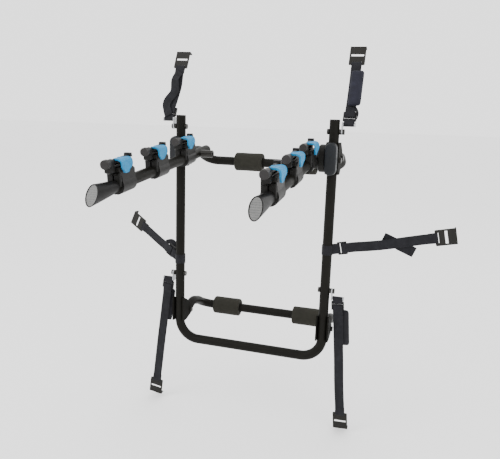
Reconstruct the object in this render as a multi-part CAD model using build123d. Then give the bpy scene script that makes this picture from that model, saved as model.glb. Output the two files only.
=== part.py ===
from build123d import *
import math
import os

# Trunk mounted bike rack: a bent tube frame stands behind a car's tailgate on two padded bars,
# two arms with three bicycle cradles each reach out of it, and six webbing straps tie it down.
# +Z is up, +Y points at the car, the arms reach towards -Y and X runs across the car.
# The parts are laid out from the middle of the frame's bottom bar. At the end all of them move
# so that the origin is where the middle of the upper pads' line touches the car.

# Fits
running_gap = 0.05          # radial play of a shaft in its hole
seat_gap = 0.3              # space between faces that pass or nearly touch
overrun = 80.0              # how far a cut runs past what it cuts

# Steel tube
tube_radius = 14.0
tube_wall = 1.5
plug_depth = 22.0           # how deep a plug or cap reaches into a tube
plug_head = 4.0

# Main frame
frame_half_width = 227.5    # from the middle to an upright's axis
frame_height = 689.0
frame_bend = 62.0

# Bolts across the tubes
bolt_radius = 4.0
bolt_head_radius = 7.5
bolt_head_height = 5.5

# Arms
arm_inset = 52.5            # from an upright's axis to its arm's axis
arm_pivot_drop = 106.0      # from the top of the uprights to the arm pivots
arm_drop_angle = 6.2        # degrees that the arm falls towards its tip
arm_tip_reach = 37.5        # from the middle of the last cradle's collar to the cap
arm_tail_length = 70.0
arm_bolt_radius = 5.0
barrel_nut_radius = 10.8
barrel_nut_length = 35.0
barrel_nut_recess = 9.0

# End caps of the arms
cap_length = 86.0
cap_mouth_height = 50.0     # the slanted oval, measured along its face
cap_mouth_width = 29.0
cap_slant_angle = 30.0      # degrees that the oval leans back from square
cap_rim = 2.2
cap_recess = 3.0
cap_middle_width = 28.6
cap_middle_height = 36.4
reflector_thickness = 2.4

# Hubs that carry the arms
plate_thickness = 4.0
hub_height = 88.0
hub_rise = 4.5              # how far a hub's middle lies above the arm pivot
hub_top_depth = 20.0        # how far back the bracket keeps its full height
hub_tail_radius = 16.0
hub_corner = 12.0
cover_width = 32.0
cover_depth = 29.0
cover_edge = 4.0
spacer_depth = 65.0
spacer_height = 75.0
spacer_shift = 7.5          # how far the spacer sits towards the arm's tip
spacer_corner = 24.0
spacer_bevel = 6.0

# Pad bars
pad_bar_bend = 41.0
pad_leg_start = 26.0        # how far behind the frame's plane a leg begins
upper_pivot_back = 38.0
upper_pivot_rise = 5.0      # above the arm pivots
upper_knee_back = 150.0
upper_knee_rise = 1.0       # above the arm pivots
upper_knee_bend = 60.0
upper_bar_back = 212.0
upper_bar_drop = 34.0       # below the arm pivots
lower_pivot_back = 40.0
lower_pivot_height = 80.0
lower_dip_back = 60.0
lower_dip_height = 76.0
lower_dip_bend = 35.0
lower_hump_back = 100.0
lower_hump_height = 90.0
lower_hump_bend = 50.0
lower_knee_back = 150.0
lower_knee_height = 75.0
lower_knee_bend = 80.0
lower_bar_back = 205.0
lower_bar_height = 47.0

# Foam sleeves on the pad bars
foam_radius = 29.5
foam_length = 92.0
foam_edge = 5.0
upper_foam_left = -78.0
upper_foam_right = 100.0
lower_foam_offset = 140.0

# Lower brackets
bracket_bottom = 57.0
bracket_top = 134.0
bracket_shoulder = 122.0
bracket_front = 17.0        # how far the side plates reach in front of the frame's plane
bracket_heel = 10.0
bracket_tail_radius = 15.0
bracket_corner = 4.0

# Cradles
cradle_count = 3
cradle_pitch = 175.0
cradle_first = 80.5         # from the arm pivot to the middle of the nearest collar
collar_radius = 20.5
collar_length = 58.0
collar_split = 3.0
tower_width = 34.0
tower_front = 37.0          # in front of the collar's middle
tower_back = 31.0
tower_height = 42.0
tower_shoulder = 14.0       # where the top begins to fall towards the back
tower_back_height = 30.0
tower_corner = 3.0
horn_radius = 9.0
rear_post_radius = 7.5
rear_post_length = 24.0
shaft_height = 53.0         # the jaw's axis above the arm's axis
shaft_radius = 3.0
front_slot_width = 4.0
front_slot_low = 14.0
front_slot_high = 27.0
side_slot_length = 14.0
side_slot_height = 3.5
side_slot_low = 29.5
slot_depth = 6.0
groove_width = 3.0
groove_depth = 2.5
groove_low = 8.0
groove_high = 24.0

# Knob at the front of each cradle
knob_radius = 10.5
knob_length = 14.0
knob_edge = 2.0
knob_lobes = 8
knob_flute = 1.6
knob_gap = 0.4

# Jaw that closes over the bicycle's tube
jaw_front = 42.0            # in front of the collar's middle
jaw_length = 44.0
jaw_thickness = 4.6
jaw_hub_radius = 7.0
jaw_sleeve_radius = 4.5
jaw_reach = 26.0
jaw_shoulder = 17.0
jaw_crown = 5.2             # the jaw's middle line above the shaft
jaw_bend = 9.0
jaw_drop = 22.0             # the tip's middle below the shaft
jaw_tuck = 3.0
jaw_tip_radius = 7.0
pull_width = 18.0
pull_height = 8.0
pull_length = 9.0
pull_neck = 9.0
pull_edge = 2.5

# Anchors of the upper and lower straps
upper_anchor_drop = 29.0    # from the top of the uprights to the anchors' bolts
lower_anchor_height = 210.0
anchor_thickness = 3.0
anchor_width = 18.0
anchor_overhang = 6.5       # from the bolt, and from the pin, to the plate's end
pin_rise = 20.0             # from the bolt to the pin that carries the strap
pin_radius = 3.6
pin_reach = 31.0            # from the plate to the pin's head
pin_head_radius = 6.0
pin_head_thickness = 2.5

# Webbing
webbing_width = 28.0
webbing_thickness = 1.8
webbing_bend = 2.4          # radius of the middle line where the webbing turns round a bar
webbing_ease = 20.0         # radius of the middle line where the webbing leaves a bar
loop_length = 10.0          # from a pin's axis to the buckle's edge
stub_length = 30.0          # from an upright's axis to a side strap's buckle
ease_length = 12.0
tail_length = 13.0          # webbing that comes back behind a bar

# Buckles
buckle_width = 36.0
buckle_length = 26.0
buckle_thickness = 6.0
buckle_rail = 3.4
buckle_bar = 3.4
buckle_edge = 1.2

# Hooks
hook_width = 44.0
hook_length = 56.0
hook_thickness = 3.0
hook_bar = 5.0
hook_webbing_slot = 4.6
hook_window_height = 7.0
hook_window_width = 35.0
hook_window_at = 29.0       # the window's middle from the webbing end
hook_lip_length = 15.0
hook_lip_bend = 2.4
hook_corner = 3.0

# Padded covers on the straps
pad_thickness = 17.0
pad_edge = 6.5
upper_pad_width = 38.0
upper_pad_length = 105.0
upper_pad_start = 50.0      # from the pin's axis
upper_pad_shift = 8.0       # how far right of the webbing's middle the pad's middle lies
lower_left_pad_width = 40.0
lower_right_pad_width = 46.0
lower_pad_length = 116.0
lower_pad_start = 38.0
lower_left_pad_shift = 4.0
lower_right_pad_shift = 7.0

# Where each strap ends in its hook, from where it begins: across, towards the car and up
upper_left_run = (3.5, 68.0, 152.0)
upper_right_run = (1.5, 68.0, 162.0)
side_left_run = (-149.5, 45.0, 80.0)
side_right_run = (286.5, 10.0, 58.0)
lower_left_run = (-64.5, 42.0, -374.0)
lower_right_run = (23.5, 42.0, -377.0)
side_left_height = 257.0    # where a side strap's sleeve sits on its upright
side_right_height = 330.0

# Derived places
cheek_inside = tube_radius + seat_gap
cheek_outside = cheek_inside + plate_thickness
arm_spread = frame_half_width - arm_inset
arm_tube_length = cradle_first + (cradle_count - 1) * cradle_pitch + arm_tip_reach
arm_pivot_height = frame_height - arm_pivot_drop
upper_pivot_height = arm_pivot_height + upper_pivot_rise
upper_knee_height = arm_pivot_height + upper_knee_rise
upper_bar_height = arm_pivot_height - upper_bar_drop
upper_anchor_height = frame_height - upper_anchor_drop
hub_height_middle = arm_pivot_height + hub_rise
upright_side = frame_half_width + tube_radius
anchor_plate_inside = upright_side + bolt_head_height
anchor_plate_outside = anchor_plate_inside + anchor_thickness
pin_middle = anchor_plate_outside + pin_reach / 2
upper_pin_height = upper_anchor_height + pin_rise
lower_pin_height = lower_anchor_height - pin_rise
loop_half = pin_radius + running_gap + webbing_thickness / 2
origin_back = upper_bar_back + foam_radius
origin_height = upper_bar_height


def block(x_low, x_high, y_low, y_high, z_low, z_high):
    """A box between its lowest and highest corners."""
    middle = Pos((x_low + x_high) / 2, (y_low + y_high) / 2, (z_low + z_high) / 2)
    return middle * Box(x_high - x_low, y_high - y_low, z_high - z_low)


def rod_x(radius, x_low, x_high, y=0, z=0):
    """A round rod along X."""
    return Pos((x_low + x_high) / 2, y, z) * Rot(0, 90, 0) * Cylinder(radius, x_high - x_low)


def rod_y(radius, y_low, y_high, x=0, z=0):
    """A round rod along Y."""
    return Pos(x, (y_low + y_high) / 2, z) * Rot(90, 0, 0) * Cylinder(radius, y_high - y_low)


def plate_x(outline, x_low, x_high, corner=0):
    """A plate across X with its outline given as (y, z) points, its corners rounded."""
    face = make_face(Polyline(*[(y, z) for y, z in outline], close=True))
    if corner:
        face = fillet(face.vertices(), corner)
    standing = Plane(origin=(x_low, 0, 0), x_dir=(0, 1, 0), z_dir=(1, 0, 0))
    return extrude(standing * face, x_high - x_low)


def bent_tube(points, bends):
    """A hollow steel tube along straight runs joined by round bends."""
    path = FilletPolyline(*points, radius=bends)
    ring = Circle(tube_radius) - Circle(tube_radius - tube_wall)
    return sweep((path ^ 0) * ring, path=path)


def both_sides(shape):
    """A piece on the right and its mirror image on the left."""
    return [shape, mirror(shape, about=Plane.YZ)]


def main_frame():
    tube = bent_tube(
        [
            (-frame_half_width, 0, frame_height),
            (-frame_half_width, 0, 0),
            (frame_half_width, 0, 0),
            (frame_half_width, 0, frame_height),
        ],
        frame_bend,
    )
    bolt_hole = bolt_radius + running_gap
    arm_bolt_hole = arm_bolt_radius + running_gap
    for side in (-1, 1):
        outside = side * (frame_half_width + overrun)
        inside = side * (frame_half_width - overrun)
        low, high = min(outside, inside), max(outside, inside)
        for height in (upper_anchor_height, lower_anchor_height):
            tube -= rod_x(bolt_hole, low, high, z=height)
        tube -= rod_x(arm_bolt_hole, low, high, z=arm_pivot_height)
    return tube


def tube_plug():
    """A plastic plug with its head at z = 0 and its stem below."""
    stem_radius = tube_radius - tube_wall - running_gap
    stem = Pos(0, 0, -plug_depth / 2) * Cylinder(stem_radius, plug_depth)
    head = Pos(0, 0, plug_head / 2) * Cylinder(tube_radius, plug_head)
    rim = head.edges().filter_by(GeomType.CIRCLE).sort_by(Axis.Z)[-1]
    return stem + fillet(rim, plug_head / 2)


def frame_plugs():
    return both_sides(Pos(frame_half_width, 0, frame_height) * tube_plug())


def cross_bolt(x_low, x_high, y, z):
    """A bolt along X with a round head outside and a nut inside the given faces."""
    shank = rod_x(bolt_radius, x_low - bolt_head_height, x_high + bolt_head_height, y, z)
    head = rod_x(bolt_head_radius, x_high, x_high + bolt_head_height, y, z)
    nut = rod_x(bolt_head_radius, x_low - bolt_head_height, x_low, y, z)
    return shank + head + nut


def frame_bolts():
    """Bolts that hold the strap anchors and the pad bars."""
    bolts = []
    inner_side = frame_half_width - tube_radius
    for height in (upper_anchor_height, lower_anchor_height):
        collar = rod_x(bolt_head_radius, upright_side, anchor_plate_inside, 0, height)
        bolts += both_sides(cross_bolt(inner_side, anchor_plate_outside, 0, height) + collar)
    for back, height in (
        (upper_pivot_back, upper_pivot_height),
        (lower_pivot_back, lower_pivot_height),
    ):
        low = frame_half_width - cheek_outside
        high = frame_half_width + cheek_outside
        bolts += both_sides(cross_bolt(low, high, back, height))
    return bolts


def hub_outline():
    """The side view of a hub bracket."""
    low = hub_height_middle - hub_height / 2
    high = hub_height_middle + hub_height / 2
    tail = upper_pivot_back + hub_tail_radius
    return [
        (-cheek_outside, low),
        (hub_top_depth, low),
        (tail, upper_pivot_height - hub_tail_radius),
        (tail, upper_pivot_height + hub_tail_radius),
        (hub_top_depth, high),
        (-cheek_outside, high),
    ]


def hub_bracket():
    """A folded steel channel round the upright, open towards the car."""
    low = frame_half_width - cheek_outside
    high = frame_half_width + cheek_outside
    channel = plate_x(hub_outline(), low, high, corner=hub_corner)
    inner_low = frame_half_width - cheek_inside
    inner_high = frame_half_width + cheek_inside
    bottom = hub_height_middle - overrun
    top = hub_height_middle + overrun
    channel -= block(inner_low, inner_high, -cheek_inside, overrun, bottom, top)
    pivot_hole = bolt_radius + running_gap
    channel -= rod_x(pivot_hole, low - overrun, high + overrun, upper_pivot_back, upper_pivot_height)
    arm_hole = arm_bolt_radius + running_gap
    return channel - rod_x(arm_hole, low - overrun, high + overrun, 0, arm_pivot_height)


def hub_cover():
    """A moulded oblong cover over the front of the hub bracket."""
    face = SlotOverall(hub_height, cover_width, rotation=90)
    middle = (frame_half_width, -cheek_outside, hub_height_middle)
    front = Plane(origin=middle, x_dir=(1, 0, 0), z_dir=(0, -1, 0))
    body = extrude(front * face, cover_depth)
    rim = body.faces().sort_by(Axis.Y)[0].edges()
    return fillet(rim, cover_edge)


def arm_spacer():
    """A moulded block that keeps the arm clear of the hub bracket."""
    near = arm_spread + tube_radius + seat_gap
    far = frame_half_width - cheek_outside
    half_depth = spacer_depth / 2
    half_height = spacer_height / 2
    outline = [
        (-spacer_shift - half_depth, hub_height_middle - half_height),
        (-spacer_shift + half_depth, hub_height_middle - half_height),
        (-spacer_shift + half_depth, hub_height_middle + half_height),
        (-spacer_shift - half_depth, hub_height_middle + half_height),
    ]
    body = plate_x(outline, near, far, corner=spacer_corner)
    rim = body.faces().sort_by(Axis.X)[0].edges()
    body = chamfer(rim, spacer_bevel)
    hole = rod_x(arm_bolt_radius + running_gap, near - overrun, far + overrun, 0, arm_pivot_height)
    return body - hole


def pivot_bolt():
    """The long bolt that an arm turns on, with its barrel nut on the inner end."""
    head_face = frame_half_width + cheek_outside
    nut_face = arm_spread - tube_radius - seat_gap
    nut_end = nut_face - barrel_nut_length
    tip = nut_end + barrel_nut_recess
    shank = rod_x(arm_bolt_radius, tip, head_face, 0, arm_pivot_height)
    head = rod_x(bolt_head_radius, head_face, head_face + bolt_head_height, 0, arm_pivot_height)
    nut = rod_x(barrel_nut_radius, nut_end, nut_face, 0, arm_pivot_height)
    rim = nut.edges().filter_by(GeomType.CIRCLE).sort_by(Axis.X)[0]
    nut = fillet(rim, tube_wall)
    bore = rod_x(arm_bolt_radius + running_gap, nut_end - overrun, nut_face + overrun, 0,
                 arm_pivot_height)
    return [shank + head, nut - bore]


def on_arm(side):
    """The place of an arm: its pivot, with +Y along the tube towards the car."""
    return Pos(side * arm_spread, 0, arm_pivot_height) * Rot(arm_drop_angle, 0, 0)


def arm_tube():
    tube = rod_y(tube_radius, -arm_tube_length, arm_tail_length)
    tube -= rod_y(tube_radius - tube_wall, -arm_tube_length - overrun, arm_tail_length + overrun)
    return tube - rod_x(arm_bolt_radius + running_gap, -overrun, overrun)


def mouth_plane():
    """The slanted face at an arm's tip."""
    middle = -arm_tube_length - cap_length
    lean = math.radians(cap_slant_angle)
    facing = (0, -math.cos(lean), math.sin(lean))
    return Plane(origin=(0, middle, 0), x_dir=(1, 0, 0), z_dir=facing)


def arm_cap():
    """A plastic end cap: a plug, and a body that flares evenly to a slanted oval mouth."""
    start = Plane(origin=(0, -arm_tube_length, 0), x_dir=(1, 0, 0), z_dir=(0, -1, 0))
    middle_at = -arm_tube_length - cap_length / 2
    middle = Plane(origin=(0, middle_at, 0), x_dir=(1, 0, 0), z_dir=(0, -1, 0))
    sections = [
        start * Circle(tube_radius),
        middle * Ellipse(cap_middle_width / 2, cap_middle_height / 2),
        mouth_plane() * Ellipse(cap_mouth_width / 2, cap_mouth_height / 2),
    ]
    body = loft(sections)
    stem_radius = tube_radius - tube_wall - running_gap
    body += rod_y(stem_radius, -arm_tube_length, -arm_tube_length + plug_depth)
    return body - extrude(mouth_plane() * mouth_oval(0), -cap_recess)


def mouth_oval(play):
    """The oval inside the cap's rim, drawn in by the given play."""
    half_width = cap_mouth_width / 2 - cap_rim - play
    half_height = cap_mouth_height / 2 - cap_rim - play
    return Ellipse(half_width, half_height)


def reflector():
    return extrude(mouth_plane().offset(-cap_recess) * mouth_oval(running_gap), reflector_thickness)


def tail_plug():
    return Pos(0, arm_tail_length, 0) * Rot(-90, 0, 0) * tube_plug()


def pad_leg_points(profile):
    """A pad bar's points from the left leg's start over the crossbar to the right leg's start."""
    left = [(-frame_half_width, y, z) for y, z in profile]
    right = [(frame_half_width, y, z) for y, z in reversed(profile)]
    return left + right


def pad_bar(profile, leg_bends, pivot):
    bends = leg_bends + [pad_bar_bend, pad_bar_bend] + leg_bends[::-1]
    tube = bent_tube(pad_leg_points(profile), bends)
    hole = bolt_radius + running_gap
    reach = frame_half_width + overrun
    return tube - rod_x(hole, -reach, reach, *pivot)


def upper_pad_bar():
    profile = [
        (pad_leg_start, upper_pivot_height),
        (upper_knee_back, upper_knee_height),
        (upper_bar_back, upper_bar_height),
    ]
    return pad_bar(profile, [upper_knee_bend], (upper_pivot_back, upper_pivot_height))


def lower_pad_bar():
    profile = [
        (pad_leg_start, lower_pivot_height),
        (lower_dip_back, lower_dip_height),
        (lower_hump_back, lower_hump_height),
        (lower_knee_back, lower_knee_height),
        (lower_bar_back, lower_bar_height),
    ]
    bends = [lower_dip_bend, lower_hump_bend, lower_knee_bend]
    return pad_bar(profile, bends, (lower_pivot_back, lower_pivot_height))


def foam_sleeve(x, y, z):
    """A foam tube with rounded ends, pushed over a crossbar."""
    low, high = x - foam_length / 2, x + foam_length / 2
    sleeve = fillet(rod_x(foam_radius, low, high, y, z).edges().filter_by(GeomType.CIRCLE), foam_edge)
    return sleeve - rod_x(tube_radius + running_gap, low - overrun, high + overrun, y, z)


def upper_foam():
    places = (upper_foam_left, upper_foam_right)
    return [foam_sleeve(x, upper_bar_back, upper_bar_height) for x in places]


def lower_foam():
    places = (-lower_foam_offset, lower_foam_offset)
    return [foam_sleeve(x, lower_bar_back, lower_bar_height) for x in places]


def lower_bracket():
    """A folded steel channel round the upright from behind, which carries a pad bar's leg."""
    tail = lower_pivot_back + bracket_tail_radius
    outline = [
        (-bracket_front, bracket_bottom),
        (bracket_heel, bracket_bottom),
        (lower_pivot_back, lower_pivot_height - bracket_tail_radius),
        (tail, lower_pivot_height - bracket_tail_radius / 2),
        (tail, lower_pivot_height + bracket_tail_radius / 2),
        (cheek_inside, bracket_shoulder),
        (-bracket_front / 2, bracket_top),
        (-bracket_front, bracket_top),
    ]
    low = frame_half_width - cheek_outside
    high = frame_half_width + cheek_outside
    channel = plate_x(outline, low, high, corner=bracket_corner)
    inner_low = frame_half_width - cheek_inside
    inner_high = frame_half_width + cheek_inside
    front = block(inner_low, inner_high, -overrun, cheek_inside, 0, bracket_top + overrun)
    back = block(inner_low, inner_high, cheek_outside, overrun, 0, bracket_top + overrun)
    hole = rod_x(bolt_radius + running_gap, low - overrun, high + overrun,
                 lower_pivot_back, lower_pivot_height)
    return channel - front - back - hole


def tower_blank():
    """The cradle's body over the collar, with its top falling towards the back."""
    outline = [
        (-tower_front, 0),
        (tower_back, 0),
        (tower_back, tower_back_height),
        (tower_shoulder, tower_height),
        (-tower_front, tower_height),
    ]
    blank = plate_x(outline, -tower_width / 2, tower_width / 2)
    upright_edges = blank.edges().filter_by(Axis.Z)
    return fillet(upright_edges, tower_corner)


def cradle_body():
    half_width = tower_width / 2
    body = rod_y(collar_radius, -collar_length / 2, collar_length / 2) + tower_blank()
    jaw_back = jaw_length - jaw_front
    horn_front = knob_back() + knob_gap
    horn_back = -jaw_front - seat_gap
    post_front = jaw_back + seat_gap
    post_back = post_front + rear_post_length
    for radius, front, back in (
        (horn_radius, horn_front, horn_back),
        (rear_post_radius, post_front, post_back),
    ):
        body += rod_y(radius, front, back, z=shaft_height)
        body += block(-radius, radius, front, back, tower_height - horn_radius, shaft_height)
    foot = [
        (horn_front, tower_height - horn_radius),
        (-tower_front, tower_height - 2 * horn_radius),
        (-tower_front, tower_height - horn_radius),
    ]
    body += plate_x(foot, -horn_radius, horn_radius)
    body -= rod_y(tube_radius + running_gap, -overrun, overrun)
    body -= rod_y(shaft_radius + running_gap, -overrun, post_front, z=shaft_height)
    body -= rod_y(jaw_sleeve_radius + running_gap, post_front, overrun, z=shaft_height)
    slot_back = -tower_front + slot_depth
    half_slot = front_slot_width / 2
    body -= block(-half_slot, half_slot, -overrun, slot_back, front_slot_low, front_slot_high)
    side_slot_top = side_slot_low + side_slot_height
    body -= block(half_slot, half_slot + side_slot_length, -overrun, slot_back, side_slot_low,
                  side_slot_top)
    groove_back = slot_back + groove_width
    for side in (-1, 1):
        ends = (side * (half_width - groove_depth), side * overrun)
        body -= block(min(ends), max(ends), slot_back, groove_back, groove_low, groove_high)
    split = block(-collar_split / 2, collar_split / 2, -overrun, overrun, -overrun, 0)
    return body - split


def knob_back():
    """Where the knob ends and the cradle's horn begins, from the collar's middle."""
    return -tower_front - knob_length - (jaw_front - tower_front)


def cradle_knob():
    """A fluted knob on a steel shaft that runs through the cradle and the jaw."""
    back = knob_back()
    front = back - knob_length
    knob = rod_y(knob_radius, front, back, z=shaft_height)
    knob = fillet(knob.edges().filter_by(GeomType.CIRCLE), knob_edge)
    for lobe in range(knob_lobes):
        angle = math.radians(360 / knob_lobes * lobe)
        x = (knob_radius + knob_flute / 2) * math.cos(angle)
        z = shaft_height + (knob_radius + knob_flute / 2) * math.sin(angle)
        knob -= rod_y(knob_flute, front - overrun, back + overrun, x, z)
    shaft = rod_y(shaft_radius, back, jaw_length - jaw_front + rear_post_length, z=shaft_height)
    return [knob, shaft]


def jaw_band():
    """The jaw's curved band, as wide as its hub."""
    crown = shaft_height + jaw_crown
    points = [
        (0, crown),
        (jaw_shoulder, crown + jaw_thickness / 4),
        (jaw_reach, shaft_height - jaw_tuck),
        (jaw_reach - jaw_tuck, shaft_height - jaw_drop),
    ]
    line = FilletPolyline(*points, radius=[jaw_bend, jaw_bend])
    front = Plane(origin=(0, -jaw_front, 0), x_dir=(1, 0, 0), z_dir=(0, -1, 0))
    return extrude(front * trace(line, jaw_thickness), -jaw_length)


def jaw_outline():
    """The jaw seen along X: full length at the top, tapering to a round tip."""
    middle = -jaw_front + jaw_length / 2
    top = shaft_height + jaw_hub_radius + jaw_crown
    knee = shaft_height - jaw_tuck
    tip = shaft_height - jaw_drop
    half_tip = jaw_tip_radius
    outline = [
        (-jaw_front, top),
        (-jaw_front + jaw_length, top),
        (-jaw_front + jaw_length, knee),
        (middle + half_tip, tip),
        (middle - half_tip, tip),
        (-jaw_front, knee),
    ]
    return plate_x(outline, -overrun, overrun, corner=half_tip / 2)


def cradle_jaw():
    """The rubber-faced jaw, its hub on the shaft, and the T-shaped pull on its tail."""
    jaw_back = jaw_length - jaw_front
    post_back = jaw_back + seat_gap + rear_post_length
    jaw = rod_y(jaw_hub_radius, -jaw_front, jaw_back, z=shaft_height) + jaw_band()
    jaw &= jaw_outline()
    sleeve_end = post_back + seat_gap
    jaw += rod_y(jaw_sleeve_radius, jaw_back, sleeve_end, z=shaft_height)
    jaw -= rod_y(shaft_radius + running_gap, -overrun, overrun, z=shaft_height)
    neck_low = shaft_height - jaw_sleeve_radius
    bar_low = shaft_height + jaw_sleeve_radius / 2
    neck = block(-pull_neck / 2, pull_neck / 2, sleeve_end, sleeve_end + pull_length, neck_low, bar_low)
    bar = block(-pull_width / 2, pull_width / 2, sleeve_end, sleeve_end + pull_length, bar_low,
                bar_low + pull_height)
    bar = fillet(bar.edges().filter_by(Axis.Y), pull_edge)
    return [jaw, neck + bar]


def cradle_place(side, number):
    """Where a cradle's collar sits on its arm."""
    along = cradle_first + number * cradle_pitch
    return on_arm(side) * Pos(0, -along, 0)


def anchor_plate(height, up):
    """A steel plate on the upright's bolt, with a headed pin that carries the strap.

    up is 1 where the strap leaves upwards and -1 where it leaves downwards."""
    inside = anchor_plate_inside
    outside = anchor_plate_outside
    pin_height = height + up * pin_rise
    ends = (height - up * anchor_overhang, pin_height + up * anchor_overhang)
    plate = block(inside, outside, -anchor_width / 2, anchor_width / 2, min(ends), max(ends))
    plate = fillet(plate.edges().filter_by(Axis.X), anchor_width / 4)
    plate -= rod_x(bolt_radius + running_gap, inside - overrun, outside + overrun, 0, height)
    pin_end = outside + pin_reach
    pin = rod_x(pin_radius, inside, pin_end, 0, pin_height)
    return plate + pin + rod_x(pin_head_radius, pin_end, pin_end + pin_head_thickness, 0, pin_height)


def anchor_plates():
    plates = both_sides(anchor_plate(upper_anchor_height, 1))
    return plates + both_sides(anchor_plate(lower_anchor_height, -1))


def across_plane():
    """The plane across the webbing's width, at one edge of the webbing."""
    return Plane(origin=(-webbing_width / 2, 0, 0), x_dir=(0, 1, 0), z_dir=(1, 0, 0))


def webbing_loop(buckle_at, place, bar_place, bar_radius):
    """A sewn loop of webbing round a bar, drawn together round the buckle's first bar."""
    far = buckle_at + buckle_bar / 2
    outer = SlotCenterToCenter(far, 2 * loop_half + webbing_thickness)
    inner = SlotCenterToCenter(far, 2 * loop_half - webbing_thickness)
    ring = Pos(0, far / 2) * Rot(0, 0, 90) * (outer - inner)
    stub = place * extrude(across_plane() * ring, webbing_width)
    sleeve = bar_place * Cylinder(bar_radius + webbing_thickness, webbing_width)
    bore = bar_place * Cylinder(bar_radius, overrun + webbing_width)
    return sleeve + stub - bore


def main_webbing(buckle_at, hook_at):
    """The webbing from its turn round the buckle's middle bar to its turn round the hook's bar."""
    window = (buckle_length - 3 * buckle_bar) / 2
    turn = buckle_at + buckle_bar + window - seat_gap - webbing_thickness / 2
    leave = buckle_at + buckle_length
    hook_side = hook_thickness / 2 + seat_gap + webbing_thickness / 2
    hook_turn = hook_at + hook_bar + seat_gap + webbing_thickness
    points = [
        (loop_half, turn + tail_length),
        (loop_half, turn),
        (-loop_half, turn),
        (-loop_half, leave),
        (0, leave + ease_length),
        (0, hook_at - 2 * ease_length),
        (-hook_side, hook_at - ease_length),
        (-hook_side, hook_turn),
        (hook_side, hook_turn),
        (hook_side, hook_at - tail_length),
    ]
    turned = webbing_bend
    eased = webbing_ease
    bends = [turned, turned, eased, eased, eased, eased, turned, turned]
    ribbon = trace(FilletPolyline(*points, radius=bends), webbing_thickness)
    return extrude(across_plane() * ribbon, webbing_width)


def hook():
    """A coated steel hook: a flat plate with a webbing slot, a window and a bent lip."""
    half = hook_width / 2
    plate = block(-half, half, -hook_thickness / 2, hook_thickness / 2, 0, hook_length)
    foot = plate.edges().filter_by(Axis.Y).group_by(Axis.Z)[0]
    plate = fillet(foot, hook_corner)
    lip_low = hook_length - hook_thickness
    body = plate + block(-half, half, -hook_thickness / 2, hook_lip_length, lip_low, hook_length)
    shoulder = body.edges().filter_by(Axis.X).group_by(Axis.Z)[-1].sort_by(Axis.Y)[0]
    body = fillet(shoulder, hook_lip_bend)
    slot_half = webbing_width / 2 + seat_gap
    slot_top = hook_bar + hook_webbing_slot
    body -= block(-slot_half, slot_half, -overrun, overrun, hook_bar, slot_top)
    window_low = hook_window_at - hook_window_height / 2
    window_half = hook_window_width / 2
    window_top = window_low + hook_window_height
    return body - block(-window_half, window_half, -overrun, overrun, window_low, window_top)


def buckle():
    """A ladder-lock buckle: two rails and three bars."""
    half = buckle_width / 2
    thick = buckle_thickness / 2
    frame = block(-half, half, -thick, thick, 0, buckle_length)
    frame = fillet(frame.edges().filter_by(Axis.X), buckle_edge)
    window = (buckle_length - 3 * buckle_bar) / 2
    inner = half - buckle_rail
    for number in range(2):
        low = buckle_bar + number * (window + buckle_bar)
        frame -= block(-inner, inner, -overrun, overrun, low, low + window)
    return frame


def padded_cover(width, length, shift, face):
    """A stuffed pad on the webbing.

    face is -1 where it lies in front of the webbing and 1 where it lies behind."""
    half = width / 2
    near = webbing_thickness / 2 + seat_gap
    faces = (face * near, face * (near + pad_thickness))
    pad = block(shift - half, shift + half, min(faces), max(faces), 0, length)
    return fillet(pad.edges(), pad_edge)


def strap_place(start, run, sideways):
    """The frame of a strap: +Z along its run, +X across its width, +Y towards the car."""
    along = Vector(*run).normalized()
    across = Vector(*sideways)
    across = (across - along * across.dot(along)).normalized()
    return Location(Plane(origin=start, x_dir=across, z_dir=along))


def write_strap(name, start, run, sideways, loop_at, pad=None):
    """Write one strap: its webbing, buckle and hook, and its padded cover if it has one."""
    place = strap_place(start, run, sideways)
    length = Vector(*run).length
    if loop_at == loop_length:
        bar_place = Pos(*start) * Rot(0, 90, 0)
        loop = webbing_loop(loop_at, place, bar_place, pin_radius + running_gap)
    else:
        loop = webbing_loop(loop_at, place, Pos(*start), tube_radius + running_gap)
    save("webbing_" + name, [loop, place * main_webbing(loop_at, length)])
    save("buckle_" + name, place * Pos(0, 0, loop_at) * buckle())
    save("hook_" + name, place * Pos(0, 0, length) * hook())
    if pad:
        width, pad_length, pad_start, shift, face = pad
        cover = padded_cover(width, pad_length, shift, face)
        save("cover_" + name, place * Pos(0, 0, pad_start) * cover)


def save(name, shapes):
    """Move a node's solids to the final origin and write them."""
    if not isinstance(shapes, list):
        shapes = [shapes]
    moved = [Pos(0, -origin_back, -origin_height) * solid
             for shape in shapes for solid in shape.solids()]
    shape = moved[0] if len(moved) == 1 else Compound(children=moved)
    export_step(shape, "parts/" + name + ".step")


os.makedirs("parts", exist_ok=True)

save("main_frame", main_frame())
save("frame_plugs", frame_plugs())
save("frame_bolts", frame_bolts())
save("hub_brackets", both_sides(hub_bracket()))
save("hub_covers", both_sides(hub_cover()))
save("arm_spacers", both_sides(arm_spacer()))
bolt, barrel_nut = pivot_bolt()
save("pivot_bolts", both_sides(bolt))
save("barrel_nuts", both_sides(barrel_nut))
save("lower_brackets", both_sides(lower_bracket()))
save("anchor_plates", anchor_plates())
save("upper_pad_bar", upper_pad_bar())
save("upper_foam", upper_foam())
save("lower_pad_bar", lower_pad_bar())
save("lower_foam", lower_foam())

for side, hand in ((-1, "left"), (1, "right")):
    place = on_arm(side)
    save("arm_" + hand, [place * arm_tube(), place * tail_plug()])
    save("arm_cap_" + hand, place * arm_cap())
    save("reflector_" + hand, place * reflector())
    for number in range(cradle_count):
        here = cradle_place(side, number)
        label = hand + "_" + str(number + 1)
        save("cradle_" + label, here * cradle_body())
        save("knob_" + label, [here * solid for solid in cradle_knob()])
        save("jaw_" + label, [here * solid for solid in cradle_jaw()])

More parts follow.
